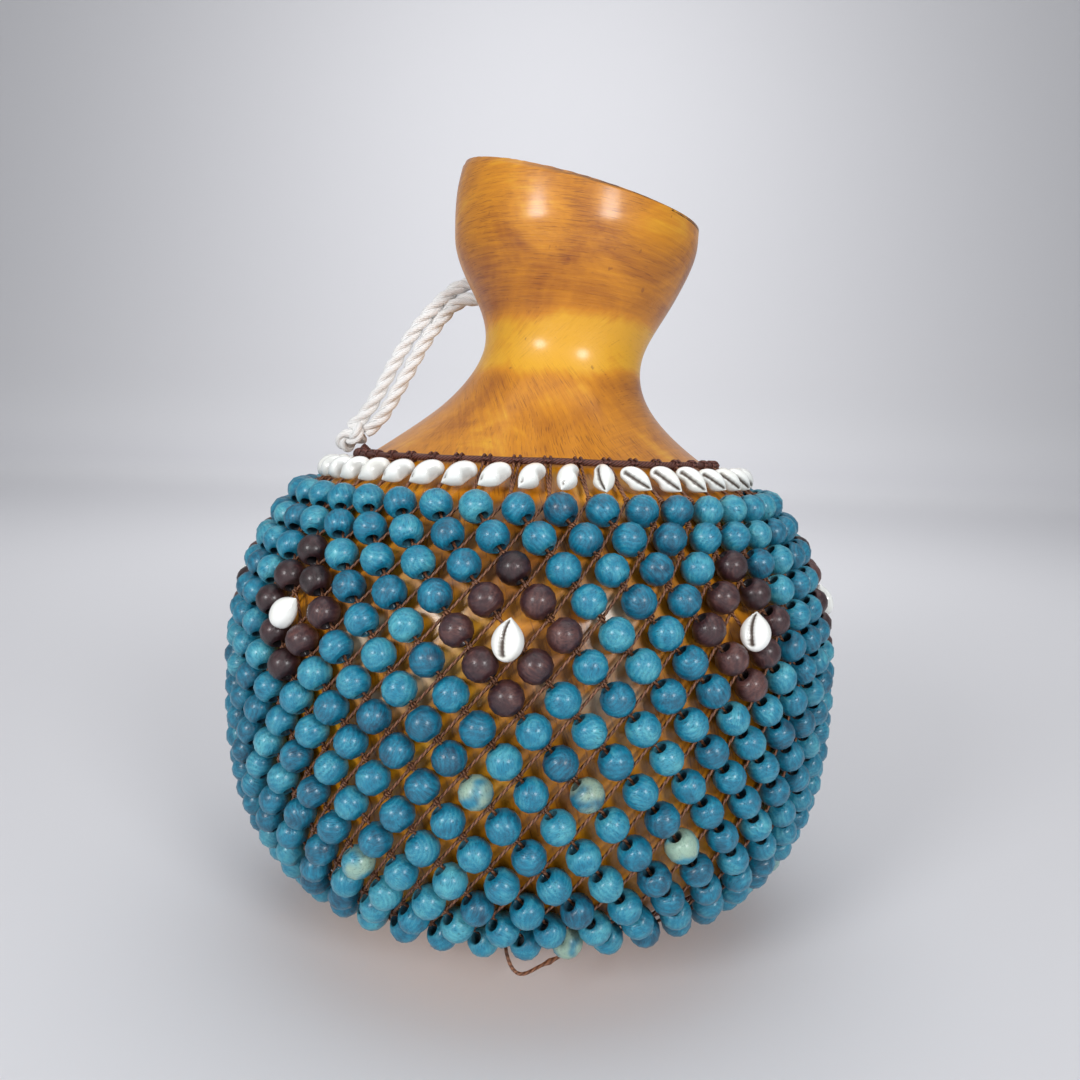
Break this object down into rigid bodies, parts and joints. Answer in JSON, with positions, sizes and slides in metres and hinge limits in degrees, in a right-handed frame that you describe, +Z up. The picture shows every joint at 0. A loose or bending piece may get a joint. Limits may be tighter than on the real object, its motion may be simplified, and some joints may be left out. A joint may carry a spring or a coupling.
{
  "type": "shekere gourd rattle",
  "caption": "Hollow gourd rattle with a slanted cup, a knotted net of wooden beads with cowrie shells over its bulb, and a rope loop from the cup to the collar.",
  "frame": {"origin": "on the table, under the axis of the gourd's bulb", "axes": "+Z up through the bulb, -Y to the front, +X to the right as seen from the front; the cup leans towards +X and the rope loop is at -X"},
  "size_m": [0.2839, 0.2838, 0.336],
  "materials": {
    "gourd": "glossy varnish over a dried, dyed gourd",
    "teal_beads": "satin dyed wood",
    "dark_beads": "satin dyed wood",
    "cowrie": "glossy shell",
    "waxed_cord": "waxed two-ply cord",
    "rope": "twisted white cotton"
  },
  "bodies": {
    "gourd": {"gourd": "gourd", "collar_cord": "waxed_cord", "rope_run_outer": "rope", "rope_run_inner": "rope", "rope_knot": "rope", "rope_lashing": "waxed_cord", "rope_stopper": "rope"},
    "net": {"net_top_loops": "waxed_cord", "collar_cowries_1": "cowrie", "collar_cowries_2": "cowrie", "collar_cowries_3": "cowrie", "hem_loops": "waxed_cord", "hem_cord": "waxed_cord", "hem_tail": "waxed_cord", "dark_beads": "dark_beads", "beads_row_1": "teal_beads", "beads_row_2": "teal_beads", "beads_row_3": "teal_beads", "beads_row_4": "teal_beads", "beads_row_5": "teal_beads", "beads_row_6": "teal_beads", "beads_row_7": "teal_beads", "beads_row_8": "teal_beads", "beads_row_9": "teal_beads", "beads_row_10": "teal_beads", "beads_row_11": "teal_beads", "beads_row_12": "teal_beads", "beads_row_13": "teal_beads", "beads_row_14": "teal_beads", "beads_row_15": "teal_beads", "beads_row_16": "teal_beads", "net_row_1": "waxed_cord", "net_row_2": "waxed_cord", "net_row_3": "waxed_cord", "net_row_4": "waxed_cord", "net_row_5": "waxed_cord", "net_row_6": "waxed_cord", "net_row_7": "waxed_cord", "net_row_8": "waxed_cord", "net_row_9": "waxed_cord", "net_row_10": "waxed_cord", "net_row_11": "waxed_cord", "net_row_12": "waxed_cord", "net_row_13": "waxed_cord", "net_row_14": "waxed_cord", "net_row_15": "waxed_cord", "net_row_16": "waxed_cord"},
    "motif_cowrie_1": {"motif_cowrie_1": "cowrie"},
    "motif_cowrie_2": {"motif_cowrie_2": "cowrie"},
    "motif_cowrie_3": {"motif_cowrie_3": "cowrie"},
    "motif_cowrie_4": {"motif_cowrie_4": "cowrie"},
    "motif_cowrie_5": {"motif_cowrie_5": "cowrie"},
    "motif_cowrie_6": {"motif_cowrie_6": "cowrie"},
    "motif_cowrie_7": {"motif_cowrie_7": "cowrie"},
    "motif_cowrie_8": {"motif_cowrie_8": "cowrie"},
    "motif_cowrie_9": {"motif_cowrie_9": "cowrie"}
  },
  "joints": [
    {"name": "net_turn", "type": "hinge", "parent": "gourd", "child": "net", "pos_m": [0, 0, 0.1], "axis": [0, 0, 1], "range_deg": [-12, 12]},
    {"name": "motif_cowrie_1_roll", "type": "hinge", "parent": "net", "child": "motif_cowrie_1", "pos_m": [-0.00666, -0.13627, 0.13975], "axis": [0.0122, 0.2495, 0.9683], "range_deg": [-20, 20]},
    {"name": "motif_cowrie_2_roll", "type": "hinge", "parent": "net", "child": "motif_cowrie_2", "pos_m": [0.08249, -0.10867, 0.13975], "axis": [-0.151, 0.199, 0.9683], "range_deg": [-20, 20]},
    {"name": "motif_cowrie_3_roll", "type": "hinge", "parent": "net", "child": "motif_cowrie_3", "pos_m": [0.13305, -0.03023, 0.13975], "axis": [-0.2436, 0.0553, 0.9683], "range_deg": [-20, 20]},
    {"name": "motif_cowrie_4_roll", "type": "hinge", "parent": "net", "child": "motif_cowrie_4", "pos_m": [0.12135, 0.06236, 0.13975], "axis": [-0.2222, -0.1142, 0.9683], "range_deg": [-20, 20]},
    {"name": "motif_cowrie_5_roll", "type": "hinge", "parent": "net", "child": "motif_cowrie_5", "pos_m": [0.05287, 0.12577, 0.13975], "axis": [-0.0968, -0.2303, 0.9683], "range_deg": [-20, 20]},
    {"name": "motif_cowrie_6_roll", "type": "hinge", "parent": "net", "child": "motif_cowrie_6", "pos_m": [-0.04034, 0.13033, 0.13975], "axis": [0.0739, -0.2386, 0.9683], "range_deg": [-20, 20]},
    {"name": "motif_cowrie_7_roll", "type": "hinge", "parent": "net", "child": "motif_cowrie_7", "pos_m": [-0.11468, 0.07391, 0.13975], "axis": [0.21, -0.1353, 0.9683], "range_deg": [-20, 20]},
    {"name": "motif_cowrie_8_roll", "type": "hinge", "parent": "net", "child": "motif_cowrie_8", "pos_m": [-0.13536, -0.0171, 0.13975], "axis": [0.2478, 0.0313, 0.9683], "range_deg": [-20, 20]},
    {"name": "motif_cowrie_9_roll", "type": "hinge", "parent": "net", "child": "motif_cowrie_9", "pos_m": [-0.0927, -0.10011, 0.13975], "axis": [0.1697, 0.1833, 0.9683], "range_deg": [-20, 20]}
  ]
}
